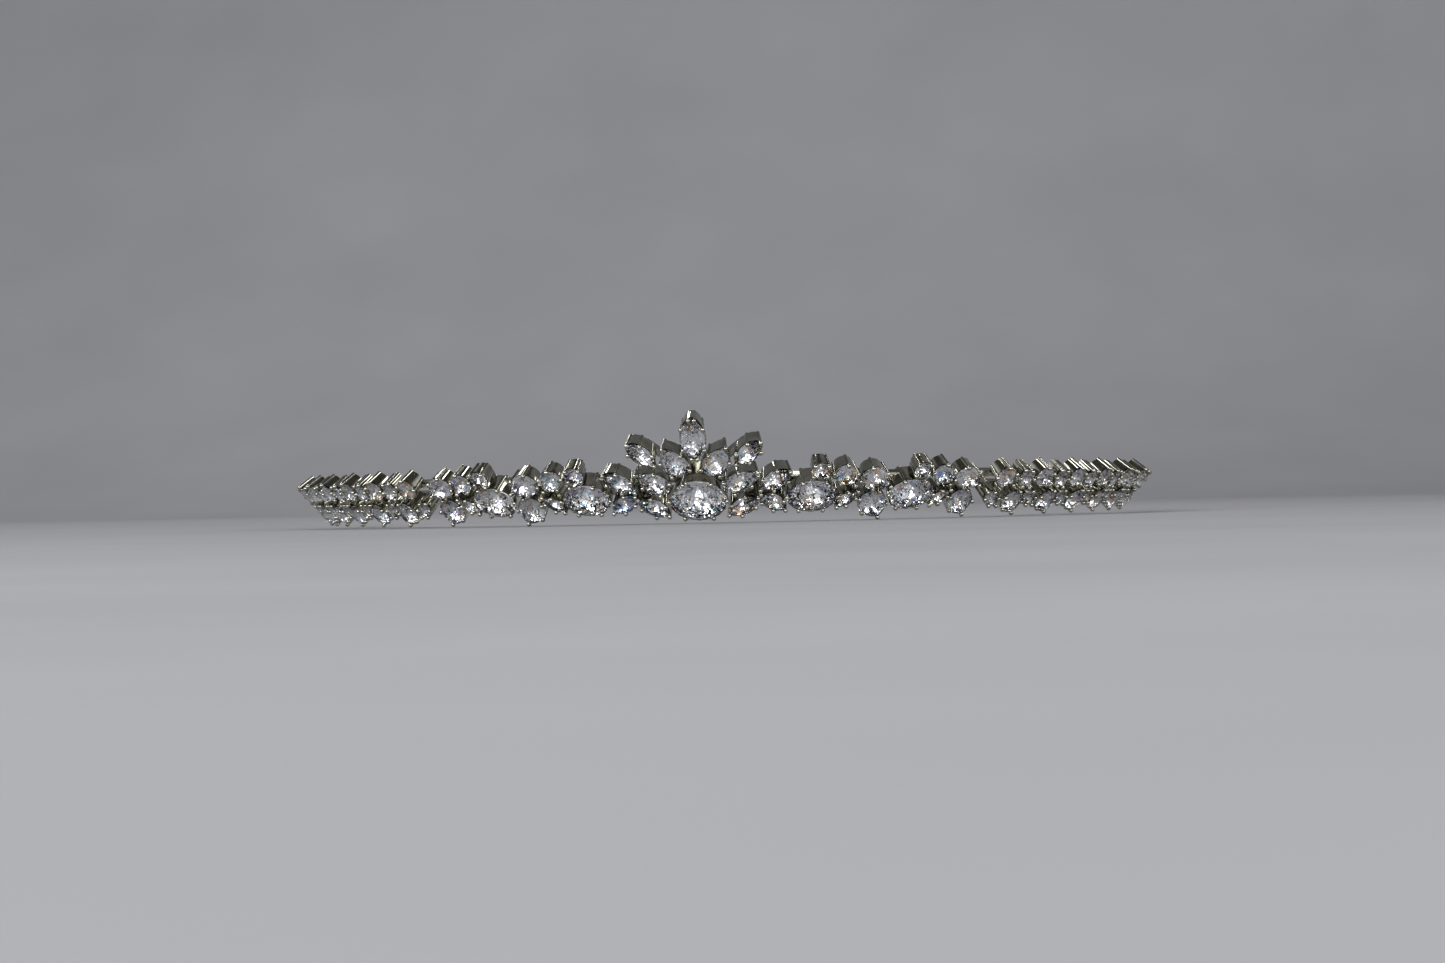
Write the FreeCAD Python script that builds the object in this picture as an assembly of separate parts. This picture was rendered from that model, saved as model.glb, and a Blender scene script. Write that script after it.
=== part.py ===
import FreeCAD, Part

import math
import os

from FreeCAD import Matrix, Vector

# A bridal tiara: cut stones in open-backed cup settings with prongs, soldered to a backing
# frame of two rails.
# Lengths are millimetres and angles are degrees.
# The girdles of all the stones lie on one cone that flares outwards. A place on it is an
# arc (distance round from the centre front, positive to +X) and a rise (distance up the slope).

# Cone and arcs
FLARE = 43.0                    # lean of the band's face from the vertical
BASE_RADIUS = 68.8              # radius of the cone at rise 0
MEAN_RISE = 5.0                 # rise where arc distances are measured
DEEP = 3.9                      # girdle plane to the back of a lower-row setting
SHALLOW = 2.8                   # the same for the upper row and the crest

# Cut stones, as shares of the stone's width
CROWN_SHARE = 0.16
GIRDLE_SHARE = 0.035
PAVILION_SHARE = 0.42
TABLE_SHARE = 0.56              # table corners, as a share of the outline
STAR_SHARE = 0.78               # tips of the star facets
LOWER_SHARE = 0.26              # upper ends of the pavilion mains' joints
GIRDLE_POINTS = 16

# Cup settings
CUP_TOP = 0.35                  # depth of the cup's rim under the girdle
CUP_RIM_SCALE = 0.99            # the cup's outline, as a share of the stone's, at its rim
CUP_BACK_SCALE = 0.82           # and at its back
CUP_WALL = 0.5
PRONG_RADIUS = 0.3
PRONG_TIP_RADIUS = 0.37
PRONG_TIP_LIFT = 0.16           # height of the tip's centre over the girdle plane
FILED_GAP = 0.02                # between neighbouring settings, where they are filed to fit
FILE_REACH = 12.0               # more than any setting's length

# Backing frame
RAIL_WIDTH = 1.3
RAIL_THICKNESS = 1.1
RAIL_BITE = 0.35                # how far the settings are let into the rails
LOWER_RAIL_RISE = 3.3
UPPER_RAIL_RISE = 6.7
EDGE_CHAMFER = 0.2
FRAME_HALF_ANGLE = 83.0
END_PLATE_ANGLE = 2.0
STRAP_WIDTH = 3.0
STRAP_END_ANGLE = 107.0
STRUT_WIDTH = 1.2
STRUT_DROP = 0.5                # how far the struts' faces lie behind the rails'
STRUT_ARCS = (9.3, 14.4, 30.6, 46.4, 61.2, 77.8, 94.6)
STEM_DROP = 0.2                 # the same for the stems that stand on the upper rail
STEM_STONES = ("bud", "upper_leaf")

# Crest frame: flat bars that fan out from the upper rail behind the petals
RAY_WIDTH = 1.2
RAY_STONES = ("top_petal", "inner_petal", "outer_petal")

# End loops
LOOP_RADIUS = 3.1
LOOP_HOLE_RADIUS = 1.5
LOOP_LAP = 0.6                  # how far the strap runs into the loop

# Stones: name, cut, length, width, setting depth, arc, rise, turn. The turn goes from the
# outward horizontal upwards, and a pear's point leads.
CREST_MIDDLE = (
    ("centre_oval", "oval", 9.1, 8.2, DEEP, 0.0, 4.4, 0.0),
    ("top_petal", "marquise", 8.8, 4.2, SHALLOW, 0.0, 17.4, 90.0),
)
CREST_PAIRS = (
    ("inner_petal", "pear", 6.5, 4.2, SHALLOW, 3.2, 12.6, 64.0),
    ("outer_petal", "marquise", 5.8, 3.3, SHALLOW, 7.7, 14.3, 50.0),
    ("wing_petal", "pear", 6.2, 4.0, SHALLOW, 6.8, 8.4, 37.0),
    ("lower_leaf", "marquise", 5.8, 3.3, DEEP, 7.2, 3.1, 38.0),
    ("upper_sprig", "marquise", 5.9, 3.5, SHALLOW, 11.9, 8.4, 40.0),
    ("lower_sprig", "marquise", 5.3, 3.0, DEEP, 11.8, 3.9, -40.0),
)
SPRAY = (
    ("oval", "oval", 8.2, 6.4, DEEP, 0.0, 4.9, 0.0),
    ("bud", "round", 3.1, 3.1, SHALLOW, 0.7, 10.2, 90.0),
    ("upper_leaf", "pear", 5.0, 3.7, SHALLOW, 4.9, 9.0, -50.0),
    ("tucked_leaf", "marquise", 4.4, 2.3, DEEP, 5.7, 4.2, 48.0),
    ("outer_leaf", "pear", 5.9, 4.3, SHALLOW, 9.8, 8.2, -30.0),
    ("drop", "pear", 5.8, 4.7, DEEP, 10.3, 2.9, -62.0),
)
SPRAYS = ((18.0, 1.0), (34.3, 0.96))
LEAF_PAIR = (
    ("low_leaf", "marquise", 4.4, 2.4, DEEP, -1.0, 3.6, -42.0),
    ("high_leaf", "pear", 4.9, 3.5, SHALLOW, 0.0, 8.0, -38.0),
    ("drop", "pear", 4.9, 4.0, DEEP, 4.05, 2.7, -62.0),
    ("side_leaf", "marquise", 4.9, 2.8, SHALLOW, 4.2, 7.8, -50.0),
)
LEAF_PAIRS = ((51.3, 1.0), (59.7, 0.98), (68.0, 0.96), (76.2, 0.94), (84.2, 0.92), (92.1, 0.9))
PAIRS_IN_CLUSTER = 2
PATTERN_MIDDLE_RISE = 4.8

SIN_FLARE = math.sin(math.radians(FLARE))
COS_FLARE = math.cos(math.radians(FLARE))
ARC_RADIUS = BASE_RADIUS + MEAN_RISE * SIN_FLARE
LOWER_RAIL_DEPTH = DEEP - RAIL_BITE
UPPER_RAIL_DEPTH = SHALLOW - RAIL_BITE
FRAME_LEAN = (UPPER_RAIL_DEPTH - LOWER_RAIL_DEPTH) / (UPPER_RAIL_RISE - LOWER_RAIL_RISE)
UP = Vector(0, 0, 1)
MIDDLE = [spec[0] for spec in CREST_MIDDLE]


# Places on the cone

def arc_angle(arc):
    """Angle round from the centre front, in degrees."""
    return math.degrees(arc / ARC_RADIUS)


def cone_matrix(arc, rise, turn=0.0):
    """Matrix from a stone's own axes (X along it, Z out of its table) to the cone."""
    around = math.radians(arc_angle(arc))
    sine, cosine = math.sin(around), math.cos(around)
    radius = BASE_RADIUS + rise * SIN_FLARE
    tangent = Vector(cosine, sine, 0)
    slope = Vector(SIN_FLARE * sine, -SIN_FLARE * cosine, COS_FLARE)
    normal = tangent.cross(slope)
    spin = math.radians(turn)
    along = tangent * math.cos(spin) + slope * math.sin(spin)
    across = normal.cross(along)
    place = Vector(radius * sine, -radius * cosine, rise * COS_FLARE)
    return Matrix(
        along.x, across.x, normal.x, place.x,
        along.y, across.y, normal.y, place.y,
        along.z, across.z, normal.z, place.z,
        0, 0, 0, 1)


def on_cone(shape, arc, rise, turn=0.0):
    return shape.transformed(cone_matrix(arc, rise, turn), True)


# Outlines and stones

def outline(cut, length, width, height=0.0):
    """Closed wire of a stone's outline, from its +X end round anticlockwise."""
    half, side = length / 2, width / 2
    tip, tail = Vector(half, 0, height), Vector(-half, 0, height)
    if cut == "oval":
        return Part.Wire(Part.Ellipse(Vector(0, 0, height), half, side).toShape())
    if cut == "round":
        return Part.Wire(Part.Circle(Vector(0, 0, height), UP, side).toShape())
    if cut == "marquise":
        top, foot = Vector(0, side, height), Vector(0, -side, height)
        return Part.Wire([Part.Arc(tip, top, tail).toShape(), Part.Arc(tail, foot, tip).toShape()])
    # A pear: a half circle, and two flank arcs that leave it at a tangent and meet at the tip.
    middle = side - half
    reach = half - middle
    flank = (reach ** 2 + side ** 2) / (2 * side)
    sweep = math.asin(reach / flank) / 2
    over_x = middle + flank * math.sin(sweep)
    over_y = side - flank + flank * math.cos(sweep)
    high, low = Vector(middle, side, height), Vector(middle, -side, height)
    return Part.Wire([
        Part.Arc(tip, Vector(over_x, over_y, height), high).toShape(),
        Part.Arc(high, tail, low).toShape(),
        Part.Arc(low, Vector(over_x, -over_y, height), tip).toShape()])


def outline_points(cut, length, width, count):
    """Points at equal steps round the outline, the first at its +X end."""
    return outline(cut, length, width).discretize(Number=count + 1)[:count]


def make_stone(cut, length, width):
    """Brilliant-cut stone with its girdle's upper edge in the plane z = 0."""
    crown = CROWN_SHARE * width
    girdle = GIRDLE_SHARE * width
    pavilion = PAVILION_SHARE * width
    turn_loss = math.cos(2 * math.pi / GIRDLE_POINTS)
    star_height = crown * (1 - STAR_SHARE * turn_loss) / (1 - TABLE_SHARE)
    lower_height = -girdle - pavilion * (1 - LOWER_SHARE * turn_loss)
    rim = outline_points(cut, length, width, GIRDLE_POINTS)

    def ring(share, height, start, step):
        return [Vector(p.x * share, p.y * share, height) for p in rim[start::step]]

    upper = ring(1, 0, 0, 1)
    lower = ring(1, -girdle, 0, 1)
    table = ring(TABLE_SHARE, crown, 0, 2)
    stars = ring(STAR_SHARE, star_height, 1, 2)
    joints = ring(LOWER_SHARE, lower_height, 1, 2)
    culet = Vector(0, 0, -girdle - pavilion)
    loops = [table]
    sides = len(table)
    for i in range(sides):
        after, before = (i + 1) % sides, (i - 1) % sides
        here, mid, there = 2 * i, 2 * i + 1, (2 * i + 2) % GIRDLE_POINTS
        loops.append([table[i], stars[i], table[after]])
        loops.append([table[i], upper[here], stars[i]])
        loops.append([table[i], stars[before], upper[here]])
        loops.append([stars[i], upper[here], upper[mid]])
        loops.append([stars[i], upper[mid], upper[there]])
        loops.append([upper[here], lower[here], lower[mid], upper[mid]])
        loops.append([upper[mid], lower[mid], lower[there], upper[there]])
        loops.append([joints[i], lower[mid], lower[here]])
        loops.append([joints[i], lower[there], lower[mid]])
        loops.append([culet, joints[i], lower[here]])
        loops.append([culet, lower[here], joints[before]])
    faces = [Part.Face(Part.makePolygon(loop + loop[:1])) for loop in loops]
    stone = Part.Solid(Part.makeShell(faces))
    if stone.Volume < 0:
        stone.reverse()
    return stone


# Settings

def make_cup(cut, length, width, depth):
    """Tapered wall under the stone, from just below its girdle to the setting's back."""
    shape = "oval" if cut == "marquise" else cut
    bodies = []
    for wall in (0, CUP_WALL):
        wires = []
        for scale, low in ((CUP_RIM_SCALE, CUP_TOP), (CUP_BACK_SCALE, depth)):
            share = max(scale - 2 * wall / width, 0.3 * scale) if wall else scale
            wires.append(outline(shape, length * share, width * share, -low))
        bodies.append(Part.makeLoft(wires, True, True))
    return bodies[0].cut(bodies[1])


def prong_places(cut, length):
    """Where prongs stand, as shares of the way round the outline from its +X end."""
    if cut == "round":
        return (0.125, 0.375, 0.625, 0.875)
    if cut == "oval":
        return (0.0, 0.165, 0.335, 0.5, 0.665, 0.835)
    if cut == "pear":
        return (0.0, 0.19, 0.39, 0.61, 0.81)
    if length > 6.0:
        return (0.03, 0.14, 0.36, 0.47, 0.53, 0.64, 0.86, 0.97)
    return (0.0, 0.15, 0.35, 0.5, 0.65, 0.85)


def make_setting(cut, length, width, depth):
    """Open-backed cup with prongs up its sides, seated round the stone."""
    step = 200
    rim = outline_points(cut, length, width, step)
    parts = []
    for place in prong_places(cut, length):
        edge = rim[round(place * step) % step]
        foot = Vector(edge.x * CUP_BACK_SCALE, edge.y * CUP_BACK_SCALE, -depth)
        head = Vector(edge.x, edge.y, PRONG_TIP_LIFT)
        rise = head - foot
        parts.append(Part.makeCylinder(PRONG_RADIUS, rise.Length, foot, rise))
        parts.append(Part.makeSphere(PRONG_TIP_RADIUS, head))
    body = make_cup(cut, length, width, depth).multiFuse(parts)
    below = Part.makeBox(4 * length, 4 * length, 2, Vector(-2 * length, -2 * length, -depth - 2))
    body = body.cut([below, make_stone(cut, length, width)])
    return max(body.Solids, key=lambda solid: solid.Volume)


# Frame

def cone_strip(rise, width, depth, lean, start, end):
    """Strip round the cone with chamfered edges. Its face is at depth in the middle of its
    width, and lean is how much deeper that gets for each millimetre of rise."""
    half, nick, back = width / 2, EDGE_CHAMFER, RAIL_THICKNESS
    section = (
        (-half + nick, 0), (half - nick, 0), (half, nick), (half, back - nick),
        (half - nick, back), (-half + nick, back), (-half, back - nick), (-half, nick))
    points = []
    for along, behind in section:
        deep = depth + lean * along + behind
        radius = BASE_RADIUS + (rise + along) * SIN_FLARE - deep * COS_FLARE
        height = (rise + along) * COS_FLARE + deep * SIN_FLARE
        points.append(Vector(0, -radius, height))
    face = Part.Face(Part.makePolygon(points + points[:1]))
    strip = face.revolve(Vector(), UP, end - start)
    strip.rotate(Vector(), UP, start)
    return strip


def make_strut(arc):
    """Flat bar from the middle of one rail to the middle of the other."""
    face_depths = (LOWER_RAIL_DEPTH + STRUT_DROP, UPPER_RAIL_DEPTH + STRUT_DROP)
    back_depths = (LOWER_RAIL_DEPTH + RAIL_THICKNESS, UPPER_RAIL_DEPTH + RAIL_THICKNESS)
    left, middle = -STRUT_WIDTH / 2, (LOWER_RAIL_RISE + UPPER_RAIL_RISE) / 2
    low, high = LOWER_RAIL_RISE - middle, UPPER_RAIL_RISE - middle
    corners = [
        Vector(left, low, -face_depths[0]), Vector(left, high, -face_depths[1]),
        Vector(left, high, -back_depths[1]), Vector(left, low, -back_depths[0])]
    bar = Part.Face(Part.makePolygon(corners + corners[:1])).extrude(Vector(STRUT_WIDTH, 0, 0))
    return on_cone(bar, arc, middle)


def make_stem(arc, rise):
    """Flat bar from the upper rail up to the middle of an upper stone."""
    bar = Part.makeBox(STRUT_WIDTH, rise - UPPER_RAIL_RISE, RAIL_THICKNESS - STEM_DROP,
                       Vector(-STRUT_WIDTH / 2, 0, -UPPER_RAIL_DEPTH - RAIL_THICKNESS))
    return on_cone(bar, arc, UPPER_RAIL_RISE)


def make_frame_bars():
    """The rails, struts, stems, end plates and straps, before they are joined."""
    angle = FRAME_HALF_ANGLE
    middle = (LOWER_RAIL_RISE + UPPER_RAIL_RISE) / 2
    depth = (LOWER_RAIL_DEPTH + UPPER_RAIL_DEPTH) / 2
    bars = [
        cone_strip(LOWER_RAIL_RISE, RAIL_WIDTH, LOWER_RAIL_DEPTH, 0, -angle, angle),
        cone_strip(UPPER_RAIL_RISE, RAIL_WIDTH, UPPER_RAIL_DEPTH, 0, -angle, angle)]
    plate_width = UPPER_RAIL_RISE - LOWER_RAIL_RISE + RAIL_WIDTH
    held = [
        spec for start, scale in SPRAYS for spec in pattern(SPRAY, start, scale)
        if spec[0] in STEM_STONES]
    for side in (-1, 1):
        bars += [make_stem(side * arc, rise) for _, _, _, _, _, arc, rise, _ in held]
        bars += [make_strut(side * arc) for arc in STRUT_ARCS]
        plate = sorted((side * (angle - END_PLATE_ANGLE), side * angle))
        strap = sorted((side * (angle - END_PLATE_ANGLE / 2), side * STRAP_END_ANGLE))
        bars.append(cone_strip(middle, plate_width, depth, FRAME_LEAN, *plate))
        bars.append(cone_strip(middle, STRAP_WIDTH, depth, FRAME_LEAN, *strap))
    return bars


def make_crest_frame(bars):
    """Five flat bars that spread from the middle of the upper rail to the petals' middles."""
    rays = []
    for name, _, _, _, _, arc, rise, _ in CREST_MIDDLE + CREST_PAIRS:
        if name in RAY_STONES:
            climb = rise - UPPER_RAIL_RISE
            lean = math.degrees(math.atan2(arc, climb))
            for side in (-1, 1) if arc else (1,):
                ray = Part.makeBox(RAY_WIDTH, math.hypot(arc, climb), RAIL_THICKNESS - STEM_DROP,
                                   Vector(-RAY_WIDTH / 2, 0, -UPPER_RAIL_DEPTH - RAIL_THICKNESS))
                ray.rotate(Vector(), UP, -side * lean)
                rays.append(ray)
    frame = rays[0].multiFuse(rays[1:]).removeSplitter()
    return let_in(on_cone(frame, 0, UPPER_RAIL_RISE), bars)


def make_end_loop(bars):
    """Ring for a hair grip, let into the end of the right-hand strap."""
    thick = RAIL_THICKNESS
    depth = (LOWER_RAIL_DEPTH + UPPER_RAIL_DEPTH) / 2
    foot = Vector(0, 0, -thick)
    ring = Part.makeCylinder(LOOP_RADIUS, thick, foot).cut(
        Part.makeCylinder(LOOP_HOLE_RADIUS, thick, foot))
    ring.rotate(Vector(), Vector(1, 0, 0), -math.degrees(math.atan(FRAME_LEAN)))
    ring.translate(Vector(0, 0, -depth))
    arc = math.radians(STRAP_END_ANGLE) * ARC_RADIUS + LOOP_RADIUS - LOOP_LAP
    return let_in(on_cone(ring, arc, (LOWER_RAIL_RISE + UPPER_RAIL_RISE) / 2), bars)


# Assembly

def let_in(body, grounds):
    """The body with whatever it meets cut out of it."""
    near = [ground for ground in grounds if ground.BoundBox.intersect(body.BoundBox)]
    if near:
        body = body.cut(near)
    return max(body.Solids, key=lambda solid: solid.Volume)


def filed_away(rim, neighbours):
    """For each close neighbour, what a setting on rim loses to it: all that lies beyond a plane
    midway between the two outlines."""
    pieces = []
    for other in neighbours:
        if rim.isSame(other):
            continue
        gap, places, _ = rim.distToShape(other)
        if gap < 2 * PRONG_TIP_RADIUS:
            near, far = places[0]
            way = (far - near).normalize()
            face = (near + far) / 2 - way * (FILED_GAP / 2)
            pieces.append(Part.makeCylinder(FILE_REACH, FILE_REACH, face, way))
    return pieces


def pattern(specs, start, scale):
    """A run of stones, scaled about the pattern's middle and placed along the arc."""
    for name, cut, length, width, depth, arc, rise, turn in specs:
        height = PATTERN_MIDDLE_RISE + (rise - PATTERN_MIDDLE_RISE) * scale
        yield name, cut, length * scale, width * scale, depth, start + arc * scale, height, turn


def right_hand_groups():
    """Node name and stones for each group on the right-hand side."""
    for spec in CREST_PAIRS:
        yield spec[0], [spec]
    for number, (start, scale) in enumerate(SPRAYS, 1):
        yield "spray_" + str(number), list(pattern(SPRAY, start, scale))
    for first in range(0, len(LEAF_PAIRS), PAIRS_IN_CLUSTER):
        specs = []
        for start, scale in LEAF_PAIRS[first:first + PAIRS_IN_CLUSTER]:
            specs += pattern(LEAF_PAIR, start, scale)
        yield "leaf_cluster_" + str(first // PAIRS_IN_CLUSTER + 1), specs


def make_groups(grounds):
    """Stones and settings of the middle and the right-hand side, by group."""
    groups = [(spec[0], [spec]) for spec in CREST_MIDDLE] + list(right_hand_groups())
    rims = {
        name: [on_cone(outline(cut, length, width), arc, rise, turn)
               for _, cut, length, width, _, arc, rise, turn in specs]
        for name, specs in groups}
    every_rim = [rim for group in rims.values() for rim in group]
    every_rim += [mirrored(rim) for name, group in rims.items() if name not in MIDDLE for rim in group]
    stones, settings = {}, {}
    for name, specs in groups:
        stones[name], settings[name] = [], []
        for rim, (_, cut, length, width, depth, arc, rise, turn) in zip(rims[name], specs):
            stones[name].append(on_cone(make_stone(cut, length, width), arc, rise, turn))
            setting = on_cone(make_setting(cut, length, width, depth), arc, rise, turn)
            settings[name].append(let_in(setting, grounds + filed_away(rim, every_rim)))
    return stones, settings


def build():
    bars = make_frame_bars()
    frame = bars[0].multiFuse(bars[1:]).removeSplitter()
    crest = make_crest_frame(bars)
    loop = make_end_loop(bars)
    nodes = {"backing_frame": [frame], "crest_frame": [crest],
             "right_end_loop": [loop], "left_end_loop": [mirrored(loop)]}
    for kind, groups in zip(("stone", "setting"), make_groups(bars + [crest])):
        for name, solids in groups.items():
            ending = "_" + kind + ("" if len(solids) == 1 else "s")
            if name in MIDDLE:
                nodes[name + ending] = solids
            else:
                nodes["right_" + name + ending] = solids
                nodes["left_" + name + ending] = [mirrored(solid) for solid in solids]
    return nodes


def mirrored(shape):
    return shape.mirror(Vector(), Vector(1, 0, 0))


def main():
    nodes = build()
    everything = Part.Compound([solid for solids in nodes.values() for solid in solids])
    box = everything.BoundBox
    shift = Vector(-box.Center.x, -box.Center.y, -box.ZMin)
    os.makedirs("parts", exist_ok=True)
    for name, solids in nodes.items():
        shape = solids[0] if len(solids) == 1 else Part.Compound(solids)
        shape.translate(shift)
        shape.exportStep("parts/" + name + ".step")
    print(len(nodes), "nodes; shift", shift, "size", box.XLength, box.YLength, box.ZLength)


main()
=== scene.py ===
import math

import bpy
from mathutils import Matrix, Vector


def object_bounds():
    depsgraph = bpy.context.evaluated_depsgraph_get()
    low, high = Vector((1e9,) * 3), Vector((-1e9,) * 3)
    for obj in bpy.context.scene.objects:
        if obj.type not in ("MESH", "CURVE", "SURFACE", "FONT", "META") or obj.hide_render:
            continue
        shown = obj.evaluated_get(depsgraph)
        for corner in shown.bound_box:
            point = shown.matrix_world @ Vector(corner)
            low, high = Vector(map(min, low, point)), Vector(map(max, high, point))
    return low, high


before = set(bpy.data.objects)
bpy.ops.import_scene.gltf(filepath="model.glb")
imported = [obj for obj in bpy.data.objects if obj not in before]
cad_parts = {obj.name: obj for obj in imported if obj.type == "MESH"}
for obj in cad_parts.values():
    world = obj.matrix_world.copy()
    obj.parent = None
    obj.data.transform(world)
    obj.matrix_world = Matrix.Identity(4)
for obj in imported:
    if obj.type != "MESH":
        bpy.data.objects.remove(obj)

# Everything is in metres, in the frame's own axes: the front faces -Y and the arc lies flat.
MM = 0.001
LOW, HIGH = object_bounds()

# The arc
ARC_AXIS = Vector((0.0, 29.02 * MM, 0.0))    # its middle, on the floor
FOOT_RADIUS = 68.6 * MM                      # of its lower edge
FOOT_LIFT = 0.57 * MM
FLARE = math.radians(43)                     # lean of the band's face from the vertical

# Camera
FRONT_FOOT = ARC_AXIS + Vector((0.0, -FOOT_RADIUS, FOOT_LIFT))
CAMERA_DISTANCE = 560 * MM
CAMERA_AZIMUTH = math.radians(3.9)
CAMERA_ELEVATION = math.radians(-0.2)
CAMERA_ROLL = math.radians(1.2)
AIM_RIGHT = 3.5 * MM             # from the front foot to the middle of the view
AIM_UP = 6.3 * MM
CAMERA_LENS = 88.9

# Plating
CORNER_REACH = 0.5 * MM          # how near a corner the painted shade reaches
CORNER_SAMPLES = 4
PAINTED_CORNER_SHADE = 0.35                # of the painted shade in the corners, as a share of the dull colour

# Stones
STONE_IOR = 1.5                  # of the upper facets, which pass light to the mirrors below
BACK_LIMIT = 0.1                 # how far a lower facet's inside has to face the table
FACET_CELL = 0.5 * MM            # size of the small facets
FACET_TILT = 0.3                 # widest nudge of a small facet
FIRE_CELL = 0.65 * MM            # size of the patches that may carry a painted coloured glint
FIRE_FROM = 0.93                 # share of the patches that stay clear
FIRE_EDGE = 0.01
FIRE_STRENGTH = 0.8
FIRE = (                         # place on the ramp, and colour of the painted glints
    (0.0, (1.0, 0.4, 0.1)),
    (0.4, (1.0, 0.7, 0.25)),
    (0.5, (0.4, 0.85, 0.95)),
    (0.75, (0.25, 0.5, 1.0)),
    (1.0, (0.65, 0.4, 1.0)))

# Studio
FLOOR_SIZE = 10.0                # its width, and twice its reach towards the camera
BACKDROP_HEIGHT = 3.0
BACKDROP_DISTANCE = 0.9          # behind the frame's origin
BACKDROP_RADIUS = 0.35           # of the round between floor and backdrop
BACKDROP_STEPS = 24
WORLD_STRENGTH = 0.8
SKY = (                          # height on the unit sphere of directions, and colour
    (0.0, (0.95, 0.96, 1.0)),
    (0.45, (0.7, 0.71, 0.74)),
    (0.8, (0.07, 0.07, 0.063)))
PANE_PITCH = 1.15                # of a window's panes, in pane widths
WINDOWS = (                      # name, centre, columns, rows, pane width, watts a pane, colour
    ("left_window", (-0.6, -0.6, 0.45), 3, 2, 0.17, 0.9, (0.97, 0.985, 1.0)),
    ("right_window", (0.7, -0.35, 0.42), 2, 2, 0.15, 0.6, (1.0, 0.99, 0.97)),
    ("rear_window", (-0.25, 0.55, 0.55), 2, 1, 0.14, 0.6, (1.0, 1.0, 1.0)),
    ("camera_window", (0.1, -0.95, 0.3), 4, 3, 0.1, 0.22, (1.0, 1.0, 1.0)),
    ("overhead_slit", (0.12, 0.05, 0.9), 3, 1, 0.05, 0.13, (1.0, 1.0, 0.97)))


def look_axes(azimuth, elevation, roll):
    """Right, up and forward directions of a camera on the front side."""
    right = Vector((math.cos(azimuth), math.sin(azimuth), 0))
    forward = Vector((
        -math.sin(azimuth) * math.cos(elevation),
        math.cos(azimuth) * math.cos(elevation),
        -math.sin(elevation)))
    up = right.cross(forward)
    tilted_right = right * math.cos(roll) - up * math.sin(roll)
    tilted_up = right * math.sin(roll) + up * math.cos(roll)
    return tilted_right, tilted_up, forward


def add_camera():
    right, up, forward = look_axes(CAMERA_AZIMUTH, CAMERA_ELEVATION, CAMERA_ROLL)
    aim = FRONT_FOOT + right * AIM_RIGHT + up * AIM_UP
    place = aim - forward * CAMERA_DISTANCE
    data = bpy.data.cameras.new("camera")
    data.lens = CAMERA_LENS
    data.sensor_width = 36.0
    data.clip_start = 0.01
    data.clip_end = 10.0
    camera = bpy.data.objects.new("camera", data)
    bpy.context.scene.collection.objects.link(camera)
    axes = Matrix((right, up, -forward)).transposed().to_4x4()
    camera.matrix_world = Matrix.Translation(place) @ axes
    bpy.context.scene.camera = camera


# Materials

def set_stops(ramp, stops):
    """Give a new colour ramp its stops, each a place between 0 and 1 and a colour."""
    elements = ramp.color_ramp.elements
    while len(elements) < len(stops):
        elements.new(0.5)
    for element, (place, colour) in zip(elements, stops):
        element.position = place
        element.color = (*colour, 1.0)


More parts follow.
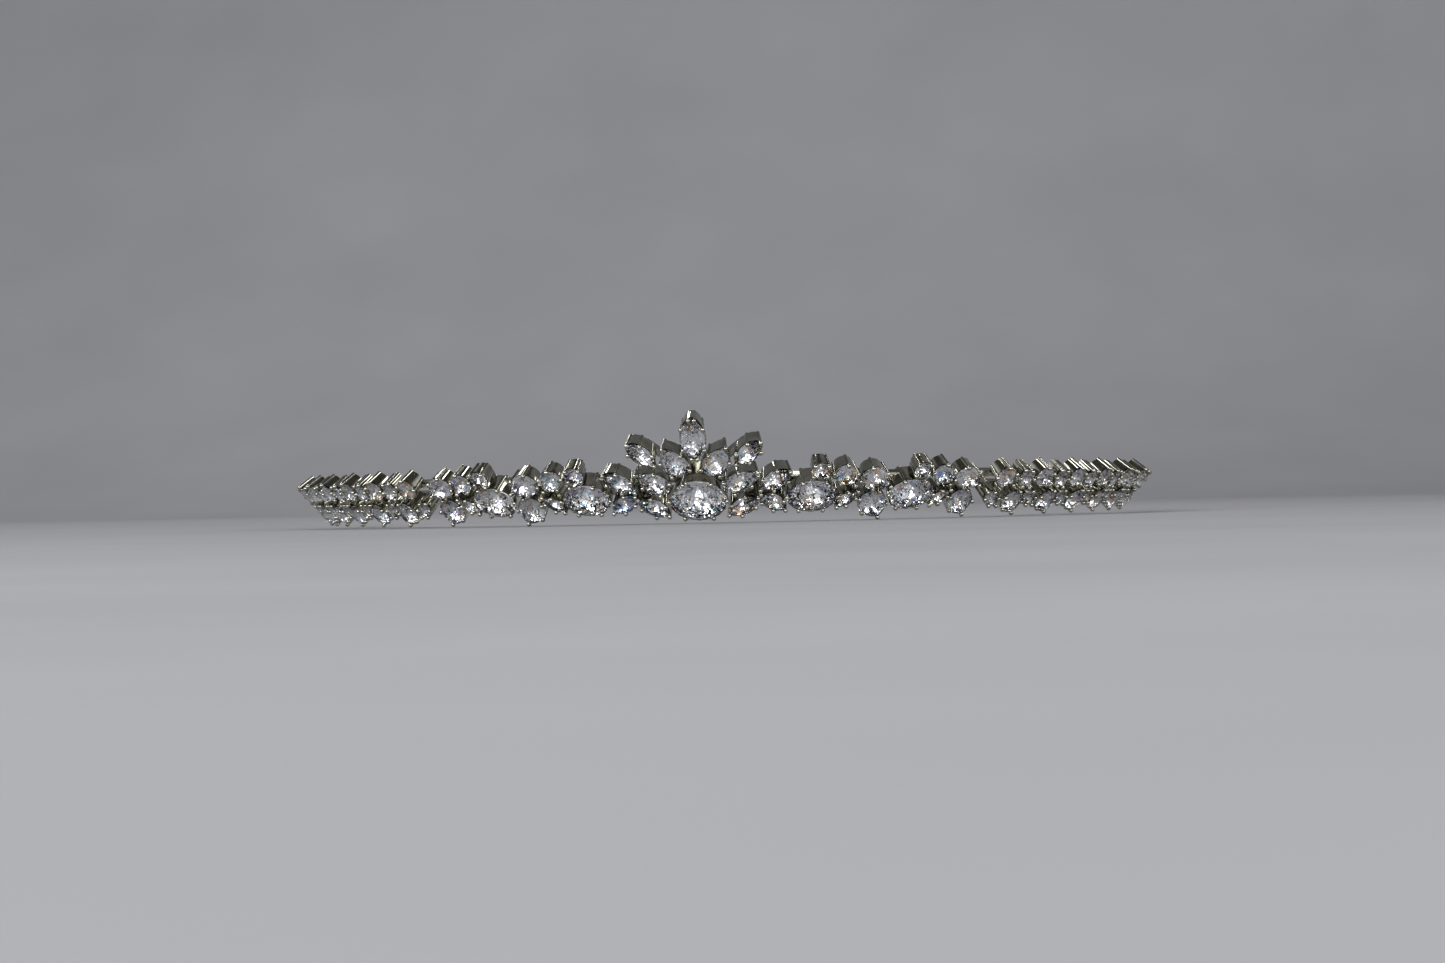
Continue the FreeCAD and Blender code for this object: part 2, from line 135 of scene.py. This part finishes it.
class Shader:
    """A node material with one Principled shader, and short calls to add nodes to it."""

    def __init__(self, name):
        self.material = bpy.data.materials.new(name)
        self.material.use_nodes = True
        self.tree = self.material.node_tree
        self.tree.nodes.clear()
        output = self.tree.nodes.new("ShaderNodeOutputMaterial")
        self.surface = self.tree.nodes.new("ShaderNodeBsdfPrincipled")
        self.link(self.surface.outputs["BSDF"], output.inputs["Surface"])
        self.places = self.tree.nodes.new("ShaderNodeTexCoord").outputs["Object"]

    def link(self, output, target):
        self.tree.links.new(output, target)

    def feed(self, target, value):
        """Link a socket to target, or set target to a number, vector or colour."""
        if isinstance(value, bpy.types.NodeSocket):
            self.link(value, target)
        elif target.type == "RGBA":
            target.default_value = (*value, 1.0)
        else:
            target.default_value = value

    def principled(self, **values):
        """Feed the Principled shader's inputs, with _ for a space in a name. Gives the material."""
        for name, value in values.items():
            self.feed(self.surface.inputs[name.replace("_", " ")], value)
        return self.material

    def add(self, kind, output, **values):
        """A node of a kind with its inputs fed. Gives one of its outputs."""
        node = self.tree.nodes.new(kind)
        for name, value in values.items():
            self.feed(node.inputs[name.replace("_", " ")], value)
        return node.outputs[output]

    def noise(self, size, detail=3.0, roughness=0.5):
        """Soft noise whose blotches are about size across."""
        return self.add(
            "ShaderNodeTexNoise", "Fac", Vector=self.places, Scale=1 / size, Detail=detail,
            Roughness=roughness)

    def cells(self, size):
        """Voronoi cells about size across: a random colour for each."""
        return self.add("ShaderNodeTexVoronoi", "Color", Vector=self.places, Scale=1 / size)

    def ramp(self, value, *stops):
        """A number between 0 and 1 turned into colours."""
        node = self.tree.nodes.new("ShaderNodeValToRGB")
        set_stops(node, stops)
        self.link(value, node.inputs["Fac"])
        return node.outputs["Color"]

    def remap(self, value, low, high, to_low, to_high):
        """A number moved from one range to another, and held inside it."""
        return self.add(
            "ShaderNodeMapRange", "Result", Value=value, From_Min=low, From_Max=high,
            To_Min=to_low, To_Max=to_high)

    def mix(self, share, first, second):
        """Two colours mixed. Share is how much of the second shows."""
        node = self.tree.nodes.new("ShaderNodeMix")
        node.data_type = "RGBA"
        factor, a, b = node.inputs[0], node.inputs[6], node.inputs[7]
        for target, value in ((factor, share), (a, first), (b, second)):
            self.feed(target, value)
        return node.outputs[2]

    def bump(self, **values):
        return self.add("ShaderNodeBump", "Normal", **values)

    def maths(self, kind, operation, output, values):
        node = self.tree.nodes.new(kind)
        node.operation = operation
        for target, value in zip(node.inputs, values):
            self.feed(target, value)
        return node.outputs[output]

    def number(self, operation, *values):
        return self.maths("ShaderNodeMath", operation, "Value", values)

    def vector(self, operation, *values):
        return self.maths("ShaderNodeVectorMath", operation, "Vector", values)

    def dot(self, *values):
        return self.maths("ShaderNodeVectorMath", "DOT_PRODUCT", "Value", values)

    def tilted(self, colour, amount):
        """The surface's normal, turned by a different small amount for each colour."""
        normal = self.tree.nodes.new("ShaderNodeNewGeometry").outputs["Normal"]
        centred = self.vector("SUBTRACT", colour, (0.5, 0.5, 0.5))
        nudge = self.vector("MULTIPLY", centred, (amount, amount, amount))
        return self.vector("NORMALIZE", self.vector("ADD", normal, nudge))

    def inner_back(self):
        """1 on the inside of a stone's lower facets, which send the light back, and 0 elsewhere."""
        geometry = self.tree.nodes.new("ShaderNodeNewGeometry")
        away = self.vector("SUBTRACT", self.places, ARC_AXIS)
        level = self.vector("NORMALIZE", self.vector("MULTIPLY", away, (1.0, 1.0, 0.0)))
        spread = self.vector("MULTIPLY", level, (math.cos(FLARE), math.cos(FLARE), 0.0))
        outward = self.vector("ADD", spread, (0.0, 0.0, -math.sin(FLARE)))
        facing = self.dot(geometry.outputs["True Normal"], outward)
        below = self.number("GREATER_THAN", facing, BACK_LIMIT)
        return self.number("MULTIPLY", below, geometry.outputs["Backfacing"])

    def crevices(self, distance):
        """1 in the open, falling to 0 in corners closer than distance."""
        node = self.tree.nodes.new("ShaderNodeAmbientOcclusion")
        node.samples = CORNER_SAMPLES
        node.inputs["Distance"].default_value = distance
        return node.outputs["AO"]


def rhodium(name, bright, dull, smooth, rough):
    """Polished plating: cloudy, with fine polishing marks, and with painted shade darkening the
    corners.
    """
    shader = Shader(name)
    clouds = shader.noise(2.2 * MM, detail=4.0, roughness=0.6)
    colour = shader.ramp(clouds, (0.3, dull), (0.62, bright))
    # Painted shade: ambient occlusion turns the base colour dark in corners, where shade falls.
    outside_painted_shade = shader.remap(shader.crevices(CORNER_REACH), 0.15, 0.75, 0.0, 1.0)
    painted_shade = tuple(PAINTED_CORNER_SHADE * channel for channel in dull)
    marks = shader.noise(0.35 * MM, detail=5.0, roughness=0.65)
    ripple = shader.bump(
        Height=shader.noise(0.9 * MM, detail=2.0), Strength=0.35, Distance=0.03 * MM)
    grain = shader.bump(
        Height=shader.noise(0.06 * MM), Strength=0.25, Distance=0.004 * MM, Normal=ripple)
    return shader.principled(
        Base_Color=shader.mix(outside_painted_shade, painted_shade, colour),
        Roughness=shader.remap(marks, 0.3, 0.7, smooth, rough),
        Normal=grain, Metallic=1.0)


def brilliant(name):
    """Clear cut stone whose lower facets are mirrors on their inside.

    Small cells tilt its facets a little, and a few larger ones are tinted with painted coloured
    glints that stand in for its fire."""
    shader = Shader(name)
    # Painted glints: a few cells tint the stone's colour in place of the coloured light that
    # dispersion throws.
    split = shader.tree.nodes.new("ShaderNodeSeparateColor")
    shader.link(shader.cells(FIRE_CELL), split.inputs["Color"])
    fire = shader.ramp(split.outputs["Red"], *FIRE)
    share = shader.remap(
        split.outputs["Green"], FIRE_FROM, FIRE_FROM + FIRE_EDGE, 0.0, FIRE_STRENGTH)
    haze = shader.ramp(
        shader.noise(1.4 * MM), (0.35, (0.975, 0.98, 0.99)), (0.6, (1.0, 1.0, 1.0)))
    wipes = shader.noise(0.5 * MM, detail=4.0)
    return shader.principled(
        Base_Color=shader.mix(share, haze, fire),
        Roughness=shader.remap(wipes, 0.45, 0.75, 0.0, 0.03),
        Normal=shader.tilted(shader.cells(FACET_CELL), FACET_TILT),
        Metallic=shader.inner_back(), Transmission_Weight=1.0, IOR=STONE_IOR)


def studio_paper(name, pale, darker):
    """Matt seamless paper: faintly clouded, with a fine tooth."""
    shader = Shader(name)
    clouds = shader.noise(60 * MM, detail=2.0)
    tooth = shader.noise(0.8 * MM, detail=4.0)
    return shader.principled(
        Base_Color=shader.ramp(clouds, (0.3, darker), (0.7, pale)),
        Normal=shader.bump(Height=tooth, Strength=0.1, Distance=0.05 * MM), Roughness=0.9)


def dress(node, material):
    node.data.materials.clear()
    node.data.materials.append(material)


def finish_tiara():
    """A material for every CAD node, by the ending of its name."""
    settings = rhodium(
        "rhodium_setting", bright=(0.57, 0.56, 0.48), dull=(0.32, 0.31, 0.25),
        smooth=0.04, rough=0.12)
    wires = rhodium(
        "rhodium_frame", bright=(0.52, 0.51, 0.45), dull=(0.33, 0.32, 0.27),
        smooth=0.12, rough=0.26)
    stones = brilliant("cubic_zirconia")
    for name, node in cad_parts.items():
        if name.endswith(("_stone", "_stones")):
            dress(node, stones)
        elif name.endswith(("_setting", "_settings")):
            dress(node, settings)
        else:
            dress(node, wires)


# Studio

def add_sweep():
    """Floor and backdrop in one sheet, joined by a quarter round."""
    half = FLOOR_SIZE / 2
    profile = [(-half, 0.0)]
    for step in range(BACKDROP_STEPS + 1):
        turn = math.pi / 2 * step / BACKDROP_STEPS
        profile.append((
            BACKDROP_DISTANCE - BACKDROP_RADIUS + BACKDROP_RADIUS * math.sin(turn),
            BACKDROP_RADIUS - BACKDROP_RADIUS * math.cos(turn)))
    profile.append((BACKDROP_DISTANCE, BACKDROP_HEIGHT))
    vertices = [(side * half, y, LOW.z + z) for y, z in profile for side in (-1, 1)]
    faces = [(2 * i, 2 * i + 1, 2 * i + 3, 2 * i + 2) for i in range(len(profile) - 1)]
    mesh = bpy.data.meshes.new("sweep")
    mesh.from_pydata(vertices, [], faces)
    mesh.shade_smooth()
    mesh.materials.append(studio_paper(
        "pale_paper", pale=(0.33, 0.33, 0.345), darker=(0.305, 0.305, 0.32)))
    sweep = bpy.data.objects.new("sweep", mesh)
    bpy.context.scene.collection.objects.link(sweep)


def add_pane(name, place, facing, size, power, colour):
    """One square area light."""
    data = bpy.data.lights.new(name, "AREA")
    data.shape = "SQUARE"
    data.size = size
    data.energy = power
    data.color = colour
    light = bpy.data.objects.new(name, data)
    bpy.context.scene.collection.objects.link(light)
    light.matrix_world = Matrix.Translation(place) @ facing.to_matrix().to_4x4()


def add_window(name, centre, columns, rows, pane, power, colour):
    """A window of square panes with bars between them, so that facets catch separate lights.

    It faces the middle of the tiara's box."""
    centre = Vector(centre)
    facing = ((LOW + HIGH) / 2 - centre).to_track_quat("-Z", "Y")
    pitch = pane * PANE_PITCH
    for column in range(columns):
        for row in range(rows):
            across = (column - (columns - 1) / 2) * pitch
            up = (row - (rows - 1) / 2) * pitch
            place = centre + facing @ Vector((across, up, 0))
            add_pane(f"{name}_{column}_{row}", place, facing, pane, power, colour)


def add_world():
    """Dim room: lighter near the horizon than overhead."""
    world = bpy.data.worlds.new("studio")
    bpy.context.scene.world = world
    world.use_nodes = True
    tree = world.node_tree
    background = tree.nodes["Background"]
    places = tree.nodes.new("ShaderNodeTexCoord")
    split = tree.nodes.new("ShaderNodeSeparateXYZ")
    ramp = tree.nodes.new("ShaderNodeValToRGB")
    tree.links.new(places.outputs["Generated"], split.inputs["Vector"])
    tree.links.new(split.outputs["Z"], ramp.inputs["Fac"])
    tree.links.new(ramp.outputs["Color"], background.inputs["Color"])
    set_stops(ramp, SKY)
    background.inputs["Strength"].default_value = WORLD_STRENGTH


add_camera()
finish_tiara()
add_sweep()
for window in WINDOWS:
    add_window(*window)
add_world()
bpy.context.scene.view_settings.view_transform = "Standard"
